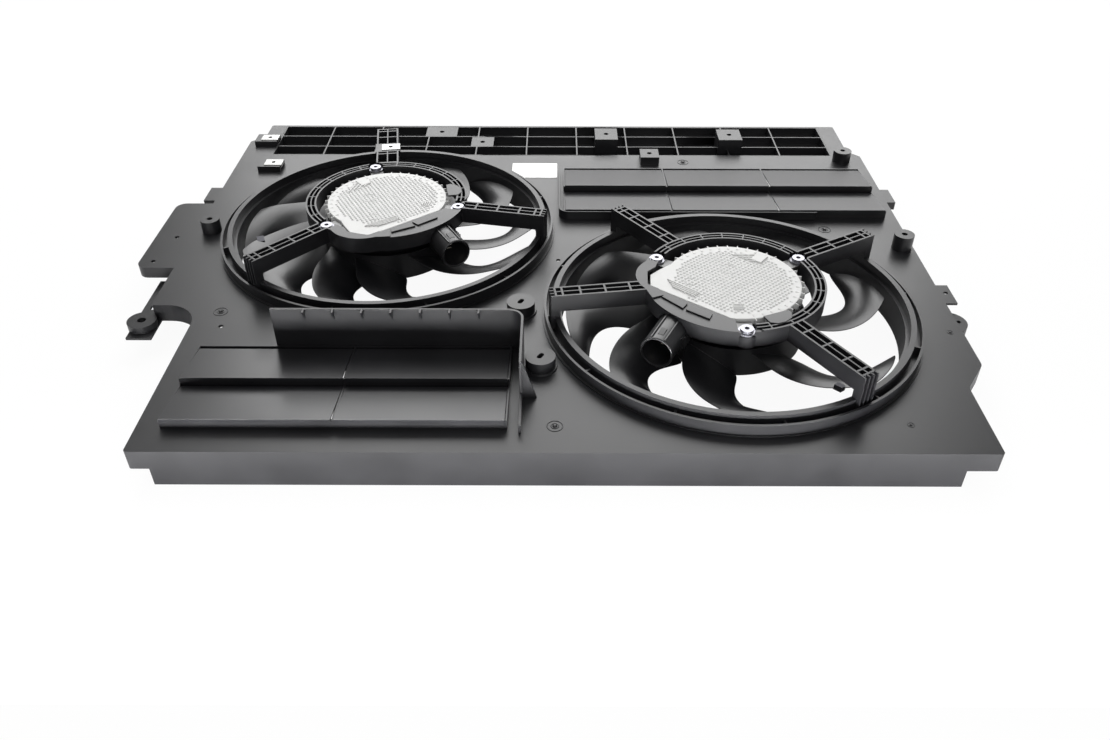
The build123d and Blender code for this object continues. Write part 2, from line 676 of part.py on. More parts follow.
def base_face():
    """Outline of the motor base, a rim wider than the cover."""
    return offset(cover_face(), BASE_RIM)


def on_screws(shape):
    """Copies of a shape at the three motor screws."""
    copies = [turned(angle, Pos(SCREW_CIRCLE, 0, 0) * shape) for angle in SCREW_ANGLES]
    return copies[0] + copies[1] + copies[2]


def lug_prism(margin, z0, z1):
    """The three screw lugs, widened by a margin, between two heights."""
    lug = disc(LUG_R + margin, z0, z1)
    lug += block(COVER_R - SCREW_CIRCLE, 0, -LUG_R - margin, LUG_R + margin, z0, z1)
    return on_screws(lug)


def along_plug(plug, shape):
    """Shape drawn along +z, laid on the connector axis from its start."""
    x, y, angle = plug
    return Pos(x, y, PLUG_Z) * Rot(0, 0, angle) * Rot(0, 90, 0) * shape


def sector(outer, inner, start, end, z0, z1):
    """Part of an upright tube between two angles, each under half a turn."""
    far = 2 * outer
    corners = [(far * cos(radians(a)), far * sin(radians(a))) for a in (start, end)]
    wedge = make_face(Polyline((0, 0), *corners, close=True))
    return tube(outer, inner, z0, z1) & prism(wedge, z0, z1)


def hub_ring(turn):
    """Ladder ring round one motor, with sill, lid and screw pads."""
    mid = HUB_R - HUB_BAND / 2
    low, floor, top = ARM_LOW, ARM_LOW + LADDER_FLOOR, CARRIER_TOP
    ring = tube(HUB_R, HUB_INNER, low, floor)
    ring += tube(HUB_R, HUB_R - LADDER_WALL, low, top)
    ring += tube(HUB_INNER + LADDER_WALL, HUB_INNER, low, top)
    ring += tube(mid + LADDER_MID / 2, mid - LADDER_MID / 2, low, top)
    rib = block(HUB_INNER + OVER, HUB_R - OVER, -LADDER_MID / 2, LADDER_MID / 2, low, top)
    for angle in range(0, 360, HUB_RIB_STEP):
        ring += turned(angle, rib)
    beyond = chord_region(BASE_RIM)
    ring -= turned(turn, prism(beyond, SILL_TOP, top + OVER))
    ring += turned(turn, prism(Circle(HUB_R) & beyond, low, SILL_TOP))
    ring += turned(turn, sector(HUB_R, HUB_INNER, *LID_SECTOR, top - LID, top))
    x, y, radius = BULGE
    bulge = Pos(x, y, 0) * disc(radius, low, top) - disc(HUB_R - LADDER_WALL, low, top)
    ring += turned(turn, bulge)
    ring += turned(turn, on_screws(disc(PAD_R, low, LUG_TOP)))
    return ring + turned(turn, on_screws(block(-HUB_BAND / 2, 0, -PAD_R, PAD_R, low, LUG_TOP)))


def carrier(turn, arms, wide_arms, plug):
    """Spider that holds one motor: hub ring with its ladder arms."""
    low, top = ARM_LOW, CARRIER_TOP
    body = hub_ring(turn)
    for angle in arms:
        body += turned(angle, ladder_arm(ARM_WIDTH, ARM_END))
    for angle in wide_arms:
        length, width, height = CLIP_PAD
        room = block(-length / 2, length / 2, -width / 2, width / 2, -height, 0)
        wide = ladder_arm(WIDE_ARM_WIDTH, ARM_END + WIDE_ARM_EXTRA)
        body += turned(angle, wide - arm_clip(room))
    body -= turned(turn, prism(offset(base_face(), BASE_GAP), low - OVER, top + OVER))
    body -= turned(turn, lug_prism(PAD_GAP, LUG_TOP - LUG, top + OVER))
    body -= turned(turn, on_screws(disc(SCREW_R, low - OVER, top)))
    channel = along_plug(plug, Cylinder(PLUG_R + PLUG_GAP, 2 * PLUG_END))
    return body - turned(turn, channel)


def arm_clip(shape):
    """Shape of a clip pad or nut, laid across the top of the wide arm."""
    return Pos(ARM_CLIP_R, 0, CARRIER_TOP) * Rot(0, 0, -90) * shape


def motor_base():
    """Cast plate with screw lugs, bearing tube and board posts."""
    base = prism(base_face(), BASE_LOW, BASE_TOP)
    base += lug_prism(0, LUG_TOP - LUG, LUG_TOP)
    base += disc(TUBE_R, TUBE_END, BASE_LOW)
    base -= disc(BEARING_R, TUBE_END - OVER, BASE_LOW - OVER)
    base -= on_screws(disc(SCREW_R, LUG_TOP - 2 * LUG, LUG_TOP + OVER))
    base -= prism(offset(cover_face(), SEAT_GAP), BASE_TOP, COVER_TOP)
    for x, y in board_posts():
        base += Pos(x, y, 0) * disc(BOARD_POST_R, BASE_TOP - OVER, BASE_TOP + BOARD_STAND)
    return base


def board_posts():
    """Places of the four posts that carry the circuit board."""
    return [(BOARD_POST_PLACE * cos(radians(a)), BOARD_POST_PLACE * sin(radians(a)))
            for a in BOARD_POST_ANGLES]


def electronics_cover():
    """Shallow cast cover, open below."""
    outline = cover_face()
    cover = prism(outline, COVER_LOW, COVER_TOP)
    return cover - prism(offset(outline, -COVER_WALL), COVER_LOW - OVER, COVER_TOP - COVER_WALL)


def cover_seal():
    """Rubber seal between the cover's edge and the base."""
    outline = cover_face()
    return prism(outline - offset(outline, -COVER_WALL), BASE_TOP, COVER_LOW)


def circuit_board():
    """Round board on its posts with a row of capacitors and a driver chip."""
    low = BASE_TOP + BOARD_STAND
    room = COVER_TOP - COVER_WALL - SEAT_GAP
    board = prism(offset(cover_face(), -2 * COVER_WALL), low, low + BOARD)
    for angle in CAPACITOR_ANGLES:
        can = Pos(CAPACITOR_PLACE, 0, 0) * disc(CAPACITOR_R, low + BOARD, room)
        board += turned(angle, can)
    half = DRIVER_CHIP / 2
    return board + block(-half, half, -half, half, low + BOARD, room)


def connector(plug):
    """Round plug housing on a root block under the motor base."""
    length = PLUG_END - PLUG_START
    barrel = Pos(0, 0, PLUG_START + length / 2) * Cylinder(PLUG_R, length)
    bore_length = length - PLUG_FLOOR
    barrel -= Pos(0, 0, PLUG_END - bore_length / 2) * Cylinder(PLUG_R - PLUG_WALL, bore_length)
    half, low = ROOT_WIDTH / 2, BASE_LOW - ROOT_DROP
    root = block(-ROOT_TAIL, PLUG_START + OVER, -half, half, low, BASE_LOW)
    root += block(0, PLUG_START + OVER, -half, half, low, PLUG_Z + ROOT_DROP)
    x, y, angle = plug
    return along_plug(plug, barrel) + Pos(x, y, 0) * Rot(0, 0, angle) * root


def connector_pins(plug):
    """Two power blades and two signal pins in the connector."""
    start = PLUG_START + PLUG_FLOOR
    middle = start + PIN_REACH / 2
    pins = None
    for side, (tall, thick) in ((1, POWER_PIN), (-1, POWER_PIN)):
        pin = Pos(side * PIN_SPREAD / 2, 0, middle) * Box(thick, tall, PIN_REACH)
        pins = pin if pins is None else pins + pin
    for side in (1, -1):
        pins += Pos(0, side * PIN_SPREAD / 2, middle) * Box(*SIGNAL_PIN, PIN_REACH)
    return along_plug(plug, pins)


def stator_core():
    """Laminated core with twelve teeth on the bearing tube."""
    core = tube(TUBE_R + YOKE, TUBE_R, STATOR_LOW, STATOR_HIGH)
    rim = tube(STATOR_R, STATOR_R - SHOE, STATOR_LOW, STATOR_HIGH)
    for i in range(TEETH):
        angle = i * 360 / TEETH
        core += turned(angle, block(TUBE_R + OVER, STATOR_R - OVER, -TOOTH / 2, TOOTH / 2,
                                    STATOR_LOW, STATOR_HIGH))
        slot = block(STATOR_R - 2 * SHOE, STATOR_R + OVER, -SLOT_HALF, SLOT_HALF,
                     STATOR_LOW - OVER, STATOR_HIGH + OVER)
        rim -= turned(angle + 180 / TEETH, slot)
    return core + rim


def stator_windings():
    """One copper coil round each tooth."""
    coils = None
    for i in range(TEETH):
        inner, outer = TUBE_R + YOKE + COIL / 2, STATOR_R - SHOE - COIL / 4
        half = TOOTH / 2 + COIL
        coil = block(inner, outer, -half, half, STATOR_LOW - COIL, STATOR_HIGH + COIL)
        coil -= block(inner - OVER, outer + OVER, -TOOTH / 2, TOOTH / 2, STATOR_LOW, STATOR_HIGH)
        coil = turned(i * 360 / TEETH, coil)
        coils = coil if coils is None else coils + coil
    return coils


def bearings():
    """Two ball bearings, each shown as one closed ring."""
    low = tube(BEARING_R, SHAFT_R + RUN_GAP, LOW_BEARING_Z, LOW_BEARING_Z + BEARING)
    high = tube(BEARING_R, SHAFT_R + RUN_GAP, HIGH_BEARING_Z, HIGH_BEARING_Z + BEARING)
    return low + high


def motor_screws():
    """Three flange screws that hold the motor to its carrier."""
    screw = disc(SCREW_R, LUG_TOP - SCREW_LENGTH, LUG_TOP)
    screw += disc(SCREW_FLANGE_R, LUG_TOP, LUG_TOP + SCREW_FLANGE)
    screw += disc(SCREW_HEAD_R, LUG_TOP, LUG_TOP + SCREW_HEAD)
    socket = RegularPolygon(SOCKET_R, 6)
    screw -= prism(socket, LUG_TOP + SCREW_HEAD / 2, LUG_TOP + SCREW_HEAD + OVER)
    return on_screws(screw)


def rotor_bell():
    """Steel bell round the stator, with the boss that grips the shaft."""
    bell = tube(BELL_INNER + BELL_WALL, BELL_INNER, CUP_LOW, BELL_TOP)
    bell += disc(BELL_INNER + BELL_WALL, CUP_LOW, CUP_LOW + BELL_WALL)
    bell += disc(BELL_BOSS_R, CUP_LOW, BELL_BOSS_TOP)
    return bell - disc(SHAFT_R, CUP_LOW - OVER, BELL_BOSS_TOP + OVER)


def rotor_magnets():
    """Arc magnets on the bell's inner wall."""
    ring = tube(BELL_INNER, BELL_INNER - MAGNET, STATOR_LOW - OVER, STATOR_HIGH + OVER)
    for i in range(MAGNETS):
        slot = block(BELL_INNER - 2 * MAGNET, BELL_INNER + OVER, -SLOT_HALF, SLOT_HALF,
                     STATOR_LOW - 2 * OVER, STATOR_HIGH + 2 * OVER)
        ring -= turned(i * 360 / MAGNETS, slot)
    return ring


def blade_section(radius, sweep, chord, pitch):
    """Thin cambered section across a blade, square to the radius."""
    half = chord / 2
    camber = chord * BLADE_CAMBER
    thick = BLADE_THICK / 2
    edge = thick / 3
    upper = ThreePointArc((-half, edge), (0, camber + thick), (half, edge))
    lower = ThreePointArc((half, -edge), (0, camber - thick), (-half, -edge))
    tip, tail = Line((half, edge), (half, -edge)), Line((-half, -edge), (-half, edge))
    return station_place(radius, sweep, pitch) * make_face(Curve() + [upper, tip, lower, tail])


def station_place(radius, sweep, pitch):
    """Place of a blade section: x runs forward along the chord, z outward."""
    plane = Plane(origin=(radius, 0, BLADE_Z), x_dir=(0, 1, 0), z_dir=(1, 0, 0))
    return Rot(0, 0, sweep) * plane.location * Rot(0, 0, -pitch)


def blade():
    """One forward-swept blade, trimmed by the tip and hub cylinders."""
    shape = loft([blade_section(*station) for station in BLADE_STATIONS])
    return shape & tube(BLADE_TIP, CUP_R - CUP_WALL / 2, CUP_LOW - CUP_R, CUP_R)


def fan_wheel(blade_angles):
    """Hub cup, collar over the bell and the blades."""
    cup = tube(CUP_R, CUP_R - CUP_WALL, CUP_LOW, CUP_TOP)
    cup += disc(CUP_R, CUP_LOW - CUP_WALL, CUP_LOW)
    cup += tube(BELL_INNER + BELL_WALL + CUP_WALL, BELL_INNER + BELL_WALL, CUP_LOW,
                BELL_TOP - BELL_WALL)
    one = blade()
    for angle in blade_angles:
        cup += turned(angle, one)
    return cup


def balance_clip(blade_angle):
    """Small spring clip on the trailing edge of one blade."""
    radius, sweep, chord, pitch = BLADE_STATIONS[CLIP_STATION]
    edge = Pos(CLIP_SIZE[0] / 3 - chord / 2, 0, 0) * Box(*CLIP_SIZE)
    clip = station_place(radius, sweep, pitch) * edge - blade()
    return turned(blade_angle, clip)


def motor_shaft():
    """Plain shaft from the bell up through both bearings."""
    return disc(SHAFT_R, CUP_LOW, SHAFT_TOP)


def fixed_nodes():
    """Pieces of the moulded shroud and what is fastened to it."""
    x0, x1, y0, y1 = LABEL
    left_carrier = carrier(LEFT_TURN, LEFT_ARMS, (WIDE_ARM,), LEFT_PLUG)
    right_carrier = carrier(0, RIGHT_ARMS, (), RIGHT_PLUG)
    nuts = Pos(*LEFT_FAN, 0) * turned(WIDE_ARM, arm_clip(clip_nut()))
    for x, y in CLIP_PLACES:
        nuts += Pos(x, y, CLIP_PAD[2]) * clip_nut()
    return {
        "shroud_panel": shroud_panel(),
        "front_skirt": deep_skirt(0, WALL, 1, -PLATE),
        "rear_skirt": rear_skirt(),
        "side_skirts": side_skirts(),
        "fastening_ear": ear(),
        "side_lugs": side_lugs(),
        "plate_bosses": plate_bosses(),
        "clip_pads": clip_pads(),
        "rear_rib_grid": rear_rib_grid(),
        "grid_pads": grid_pads(),
        "vent_shield": vent_shield(),
        "lower_vent_frame": vent_frame(LOWER_BANK),
        "upper_vent_frame": vent_frame(UPPER_BANK),
        "upper_vent_rim": upper_rim(),
        "left_ring": Pos(*LEFT_FAN, 0) * fan_ring(LEFT_RING_PHASE),
        "right_ring": Pos(*RIGHT_FAN, 0) * fan_ring(RIGHT_RING_PHASE),
        "left_motor_carrier": Pos(*LEFT_FAN, 0) * left_carrier,
        "right_motor_carrier": Pos(*RIGHT_FAN, 0) * right_carrier,
        "clip_nuts": nuts,
        "blank_label": block(x0, x1, y0, y1, 0, LABEL_THICK),
    }


def motor_nodes(side, centre, turn, plug, blade_angles, clip_angle):
    """Pieces of one fan motor, moved to its ring."""
    motor = {
        "motor_base": motor_base(),
        "electronics_cover": electronics_cover(),
        "cover_seal": cover_seal(),
        "circuit_board": circuit_board(),
        "connector": connector(plug),
        "connector_pins": connector_pins(plug),
        "stator_core": stator_core(),
        "stator_windings": stator_windings(),
        "bearings": bearings(),
        "motor_screws": motor_screws(),
        "motor_shaft": motor_shaft(),
        "rotor_bell": rotor_bell(),
        "rotor_magnets": rotor_magnets(),
    }
    place = Pos(centre[0], centre[1], 0)
    nodes = {f"{side}_{name}": place * turned(turn, shape) for name, shape in motor.items()}
    nodes[f"{side}_fan_wheel"] = place * fan_wheel(blade_angles)
    nodes[f"{side}_balance_clip"] = place * balance_clip(clip_angle)
    return nodes


def flap_nodes(bank_name, bank, sides):
    """Hinged flaps of one bank, named by row and column."""
    nodes = {}
    for row, (axis, front) in zip(("rear", "front"), bank_rows(bank)):
        for side, (x0, x1) in zip(sides, bank_columns(bank)):
            nodes[f"{bank_name}_flap_{row}_{side}"] = flap(x0, x1, axis, front)
    return nodes


def write_nodes(nodes):
    """Each piece to its own file, in the frame of the whole part."""
    for name, shape in nodes.items():
        export_step(SHELF_FRAME * shape, f"parts/{name}.step")


write_nodes(fixed_nodes())
write_nodes(motor_nodes("left", LEFT_FAN, LEFT_TURN, LEFT_PLUG, LEFT_BLADES, LEFT_CLIP_ANGLE))
write_nodes(motor_nodes("right", RIGHT_FAN, 0, RIGHT_PLUG, RIGHT_BLADES, RIGHT_CLIP_ANGLE))
write_nodes(flap_nodes("lower", LOWER_BANK, ("left", "right")))
write_nodes(flap_nodes("upper", UPPER_BANK, ("left", "middle", "right")))
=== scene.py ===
# A twin-fan radiator shroud, dressed for its picture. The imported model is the
# fixed frame, and the pieces here give it rounded edges, cast and moulded
# surfaces, and the small details that its solids leave plain.

import json
import math

import bpy
from mathutils import Matrix, Vector

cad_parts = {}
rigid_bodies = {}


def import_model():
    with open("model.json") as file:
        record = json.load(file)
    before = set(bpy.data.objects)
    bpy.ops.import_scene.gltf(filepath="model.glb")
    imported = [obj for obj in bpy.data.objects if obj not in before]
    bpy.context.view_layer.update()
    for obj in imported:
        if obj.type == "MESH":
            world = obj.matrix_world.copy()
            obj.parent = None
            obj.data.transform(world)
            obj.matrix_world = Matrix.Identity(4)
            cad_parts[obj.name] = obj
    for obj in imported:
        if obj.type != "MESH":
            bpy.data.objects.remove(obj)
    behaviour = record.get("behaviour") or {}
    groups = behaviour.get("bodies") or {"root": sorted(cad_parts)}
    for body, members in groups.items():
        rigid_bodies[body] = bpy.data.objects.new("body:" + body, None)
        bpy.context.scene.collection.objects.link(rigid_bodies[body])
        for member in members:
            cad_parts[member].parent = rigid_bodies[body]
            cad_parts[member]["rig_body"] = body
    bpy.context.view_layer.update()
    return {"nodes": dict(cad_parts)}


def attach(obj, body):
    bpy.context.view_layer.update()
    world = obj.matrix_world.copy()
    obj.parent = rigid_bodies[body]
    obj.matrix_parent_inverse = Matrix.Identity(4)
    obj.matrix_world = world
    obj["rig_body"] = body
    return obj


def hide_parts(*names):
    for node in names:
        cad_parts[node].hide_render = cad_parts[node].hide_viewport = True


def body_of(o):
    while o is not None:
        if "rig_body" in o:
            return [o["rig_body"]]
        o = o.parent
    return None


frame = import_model()
bpy.ops.object.select_all(action="DESELECT")

# Camera at the photograph's place: in front of the shroud at the middle,
# looking down at 38 degrees, turned a hair about its own axis.
MM = 0.001
CAMERA_PLACE = Vector((0.018, -0.9365, 0.589))
CAMERA_PITCH = 0.6596
CAMERA_ROLL = 0.0030
FOCAL_LENGTH = 30.48

camera_data = bpy.data.cameras.new("camera")
camera_data.sensor_width = 36
camera_data.lens = FOCAL_LENGTH
camera = bpy.data.objects.new("camera", camera_data)
bpy.context.collection.objects.link(camera)
looking_down = Matrix.Rotation(math.pi / 2 - CAMERA_PITCH, 4, "X")
rolled = Matrix.Rotation(CAMERA_ROLL, 4, "Z")
camera.matrix_world = Matrix.Translation(CAMERA_PLACE) @ looking_down @ rolled
bpy.context.scene.camera = camera

# Studio: a white room and three soft panels, one behind that puts a sheen on
# the flat plastic, one above and a weak one in front, and a low strip light
# that lifts the front skirt.
bpy.context.scene.view_settings.view_transform = "Standard"

ROOM_LIGHT = 0.32


def seen_directly(nodes, links):
    """1 for rays from the camera, also through glass, else 0."""
    path = nodes.new("ShaderNodeLightPath")
    either = nodes.new("ShaderNodeMath")
    either.operation = "MAXIMUM"
    links.new(path.outputs["Is Camera Ray"], either.inputs[0])
    links.new(path.outputs["Is Transmission Ray"], either.inputs[1])
    return either.outputs[0]


room = bpy.data.worlds.new("room")
room.use_nodes = True
bpy.context.scene.world = room
room_nodes, room_links = room.node_tree.nodes, room.node_tree.links
room_nodes.clear()
room_out = room_nodes.new("ShaderNodeOutputWorld")
room_mix = room_nodes.new("ShaderNodeMixShader")
room_dim = room_nodes.new("ShaderNodeBackground")
room_dim.inputs["Color"].default_value = (1, 1, 1, 1)
room_dim.inputs["Strength"].default_value = ROOM_LIGHT
room_white = room_nodes.new("ShaderNodeBackground")
room_white.inputs["Color"].default_value = (1, 1, 1, 1)
room_white.inputs["Strength"].default_value = 1.0
room_links.new(seen_directly(room_nodes, room_links), room_mix.inputs["Fac"])
room_links.new(room_dim.outputs[0], room_mix.inputs[1])
room_links.new(room_white.outputs[0], room_mix.inputs[2])
room_links.new(room_mix.outputs[0], room_out.inputs["Surface"])

# Name, place, point it faces, width, height and power of each panel
PANELS = (
    ("panel_behind", (0.1, 1.7, 1.3), (0.05, 0.1, 0), 2.4, 1.8, 58),
    ("panel_above", (-0.9, 0.3, 1.9), (0, 0, 0), 1.0, 1.0, 9),
    ("panel_front", (0.4, -2.0, 1.2), (0, -0.4, 0), 1.6, 1.2, 16),
)
STRIP_PLACE = (0.0, -0.56, 0.018)
STRIP_WIDTH, STRIP_HEIGHT, STRIP_POWER = 1.2, 0.03, 8


def soft_light(name, place, width, height, power):
    """Rectangular lamp that shines straight down until it is turned."""
    light_data = bpy.data.lights.new(name, "AREA")
    light_data.shape = "RECTANGLE"
    light_data.size = width
    light_data.size_y = height
    light_data.energy = power
    light = bpy.data.objects.new(name, light_data)
    bpy.context.collection.objects.link(light)
    light.location = place
    return light


for name, place, aim, width, height, power in PANELS:
    panel = soft_light(name, place, width, height, power)
    panel.rotation_euler = (Vector(aim) - Vector(place)).to_track_quat("-Z", "Y").to_euler()
strip = soft_light("strip_low", STRIP_PLACE, STRIP_WIDTH, STRIP_HEIGHT, STRIP_POWER)
strip.rotation_euler = (math.pi / 2, 0, 0)
strip.visible_camera = False

# Floor: a matt white sheet just under the skirts. It glows for the camera, so
# that it reads as paper white, and keeps a faint shadow.
FLOOR_SIZE = 30
FLOOR_WHITE = 0.85
FLOOR_GLOW = 0.94
FLOOR_DROP = 0.0005
bpy.ops.mesh.primitive_plane_add(size=FLOOR_SIZE, location=(0, 0, -FLOOR_DROP))
floor = bpy.context.object
floor.name = "floor"
floor_material = bpy.data.materials.new("white_floor")
floor_material.use_nodes = True
floor_nodes, floor_links = floor_material.node_tree.nodes, floor_material.node_tree.links
floor_nodes.clear()
floor_out = floor_nodes.new("ShaderNodeOutputMaterial")
floor_mix = floor_nodes.new("ShaderNodeMixShader")
floor_share = floor_nodes.new("ShaderNodeMath")
floor_share.operation = "MULTIPLY"
floor_share.inputs[1].default_value = FLOOR_GLOW
floor_matt = floor_nodes.new("ShaderNodeBsdfDiffuse")
floor_matt.inputs["Color"].default_value = (FLOOR_WHITE, FLOOR_WHITE, FLOOR_WHITE, 1)
floor_glow = floor_nodes.new("ShaderNodeEmission")
floor_glow.inputs["Strength"].default_value = 1.0
floor_links.new(seen_directly(floor_nodes, floor_links), floor_share.inputs[0])
floor_links.new(floor_share.outputs[0], floor_mix.inputs["Fac"])
floor_links.new(floor_matt.outputs[0], floor_mix.inputs[1])
floor_links.new(floor_glow.outputs[0], floor_mix.inputs[2])
floor_links.new(floor_mix.outputs[0], floor_out.inputs["Surface"])
floor.data.materials.append(floor_material)

# Shroud moulding: black polypropylene, moulded in one shot, so every edge has
# a small round and every face a fine eroded grain with faint flow marks.
GRAIN = 1800
GRAIN_STRENGTH = 0.35
FLOW = 14
FLOW_DARK, FLOW_LIGHT = 0.3, 0.7
GLOSS_DRIFT = 0.06
WELD = 1e-6
FLAT_ANGLE = math.radians(0.5)
SHARP_ANGLE = math.radians(40)
EDGE_ROUND = 0.5 * MM


def only(piece):
    """Leaves one object selected and active."""
    bpy.ops.object.select_all(action="DESELECT")
    piece.select_set(True)
    bpy.context.view_layer.objects.active = piece


def grained_plastic(name, dark, light, rough, grain_height, grain=GRAIN):
    """Moulded plastic whose tone and gloss drift a little over the piece."""
    material = bpy.data.materials.new(name)
    material.use_nodes = True
    nodes, links = material.node_tree.nodes, material.node_tree.links
    shader = nodes["Principled BSDF"]
    place = nodes.new("ShaderNodeTexCoord")
    flow = nodes.new("ShaderNodeTexNoise")
    flow.inputs["Scale"].default_value = FLOW
    flow.inputs["Detail"].default_value = 5
    flow.inputs["Roughness"].default_value = 0.6
    links.new(place.outputs["Object"], flow.inputs["Vector"])
    tone = nodes.new("ShaderNodeValToRGB")
    tone.color_ramp.elements[0].position = FLOW_DARK
    tone.color_ramp.elements[0].color = (*dark, 1)
    tone.color_ramp.elements[1].position = FLOW_LIGHT
    tone.color_ramp.elements[1].color = (*light, 1)
    links.new(flow.outputs["Fac"], tone.inputs["Fac"])
    links.new(tone.outputs["Color"], shader.inputs["Base Color"])
    gloss = nodes.new("ShaderNodeMapRange")
    gloss.inputs["To Min"].default_value = rough - GLOSS_DRIFT
    gloss.inputs["To Max"].default_value = rough + GLOSS_DRIFT
    links.new(flow.outputs["Fac"], gloss.inputs["Value"])
    links.new(gloss.outputs["Result"], shader.inputs["Roughness"])
    speckle = nodes.new("ShaderNodeTexNoise")
    speckle.inputs["Scale"].default_value = grain
    speckle.inputs["Detail"].default_value = 2
    links.new(place.outputs["Object"], speckle.inputs["Vector"])
    bump = nodes.new("ShaderNodeBump")
    bump.inputs["Strength"].default_value = GRAIN_STRENGTH
    bump.inputs["Distance"].default_value = grain_height
    links.new(speckle.outputs["Fac"], bump.inputs["Height"])
    links.new(bump.outputs["Normal"], shader.inputs["Normal"])
    return material


def clean_copy(node, name):
    """Copy of a CAD node's mesh, welded and with its flat faces whole again."""
    source = frame["nodes"][node]
    piece = bpy.data.objects.new(name, source.data.copy())
    bpy.context.collection.objects.link(piece)
    only(piece)
    bpy.ops.mesh.customdata_custom_splitnormals_clear()
    bpy.ops.object.mode_set(mode="EDIT")
    bpy.ops.mesh.select_all(action="SELECT")
    bpy.ops.mesh.remove_doubles(threshold=WELD)
    bpy.ops.mesh.dissolve_limited(angle_limit=FLAT_ANGLE)
    bpy.ops.object.mode_set(mode="OBJECT")
    piece.data.materials.clear()
    return piece


def round_edges(piece, radius, steps=2):
    """Rounds the sharp edges and smooths the curved faces."""
    only(piece)
    bevel = piece.modifiers.new("round", "BEVEL")
    bevel.width = radius
    bevel.segments = steps
    bevel.limit_method = "ANGLE"
    bevel.angle_limit = SHARP_ANGLE
    bevel.use_clamp_overlap = True
    bpy.ops.object.modifier_apply(modifier="round")
    bpy.ops.object.shade_smooth_by_angle(angle=SHARP_ANGLE)
    flat = piece.modifiers.new("flat", "WEIGHTED_NORMAL")
    flat.keep_sharp = True
    bpy.ops.object.modifier_apply(modifier="flat")


def dress(piece, material, slot, *nodes):
    """Gives a piece its finish and the body of the nodes it stands for, and hides those nodes."""
    piece.data.materials.append(material)
    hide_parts(*nodes)
    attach(piece, body_of(frame["nodes"][nodes[0]])[0])


def fused_copy(nodes, name):
    """One mesh of nodes that touch face to face, with no seam between them."""
    whole = clean_copy(nodes[0], name)
    for node in nodes[1:]:
        other = clean_copy(node, node + "_part")
        only(whole)
        union = whole.modifiers.new("union", "BOOLEAN")
        union.operation = "UNION"
        union.solver = "EXACT"
        union.object = other
        bpy.ops.object.modifier_apply(modifier="union")
        bpy.data.objects.remove(other, do_unlink=True)
    only(whole)
    bpy.ops.object.mode_set(mode="EDIT")
    bpy.ops.mesh.select_all(action="SELECT")
    bpy.ops.mesh.remove_doubles(threshold=2 * WELD)
    bpy.ops.mesh.dissolve_limited(angle_limit=FLAT_ANGLE)
    bpy.ops.object.mode_set(mode="OBJECT")
    return whole


shroud_plastic = grained_plastic("shroud_plastic", (0.006, 0.006, 0.007), (0.012, 0.012, 0.0135),
                                 0.37, 0.08 * MM)
PLATE_NODES = ("shroud_panel", "fastening_ear", "front_skirt", "rear_skirt", "side_skirts",
               "side_lugs", "plate_bosses")
plate_moulding = fused_copy(PLATE_NODES, "shroud_plate_moulding")
round_edges(plate_moulding, EDGE_ROUND)
dress(plate_moulding, shroud_plastic, "shroud_plastic", *PLATE_NODES)
for node in ("clip_pads", "rear_rib_grid", "grid_pads", "vent_shield", "upper_vent_rim",
             "lower_vent_frame", "upper_vent_frame", "left_ring", "right_ring",
             "left_motor_carrier", "right_motor_carrier"):
    moulding = clean_copy(node, node + "_moulding")
    round_edges(moulding, EDGE_ROUND)
    dress(moulding, shroud_plastic, "shroud_plastic", node)

# Flaps: ten thin blades of a slightly glossier plastic that snap into the
# vent frames on stub pins and blow open at speed.
FLAP_ROUND = 0.25 * MM
flap_plastic = grained_plastic("flap_plastic", (0.007, 0.007, 0.008), (0.012, 0.012, 0.014),
                               0.32, 0.05 * MM)
for node in sorted(frame["nodes"]):
    if "_flap_" in node:
        flap = clean_copy(node, node + "_moulding")
        round_edges(flap, FLAP_ROUND)
        dress(flap, flap_plastic, "flap_plastic", node)

# Fans: glass-filled nylon wheels, smoother and blacker than the shroud.
WHEEL_ROUND = 0.4 * MM
fan_plastic = grained_plastic("fan_plastic", (0.005, 0.005, 0.006), (0.009, 0.009, 0.010),
                              0.34, 0.05 * MM)
for side in ("left", "right"):
    wheel = clean_copy(side + "_fan_wheel", side + "_fan_wheel_moulding")
    round_edges(wheel, WHEEL_ROUND, 1)
    dress(wheel, fan_plastic, "fan_plastic", side + "_fan_wheel")

# Metals and the small parts inside the motors, each a plain finish on its
# CAD solid.
PATCH_SHADE = 0.82


def metal(name, colour, rough, spread, scale):
    """Metal with a fine uneven surface."""
    material = bpy.data.materials.new(name)
    material.use_nodes = True
    nodes, links = material.node_tree.nodes, material.node_tree.links
    shader = nodes["Principled BSDF"]
    shader.inputs["Metallic"].default_value = 1.0
    place = nodes.new("ShaderNodeTexCoord")
    patches = nodes.new("ShaderNodeTexNoise")
    patches.inputs["Scale"].default_value = scale
    patches.inputs["Detail"].default_value = 4
    links.new(place.outputs["Object"], patches.inputs["Vector"])
    tone = nodes.new("ShaderNodeValToRGB")
    tone.color_ramp.elements[0].color = (*[c * PATCH_SHADE for c in colour], 1)
    tone.color_ramp.elements[1].color = (*colour, 1)
    links.new(patches.outputs["Fac"], tone.inputs["Fac"])
    links.new(tone.outputs["Color"], shader.inputs["Base Color"])
    gloss = nodes.new("ShaderNodeMapRange")
    gloss.inputs["To Min"].default_value = rough - spread
    gloss.inputs["To Max"].default_value = rough + spread
    links.new(patches.outputs["Fac"], gloss.inputs["Value"])
    links.new(gloss.outputs["Result"], shader.inputs["Roughness"])
    return material


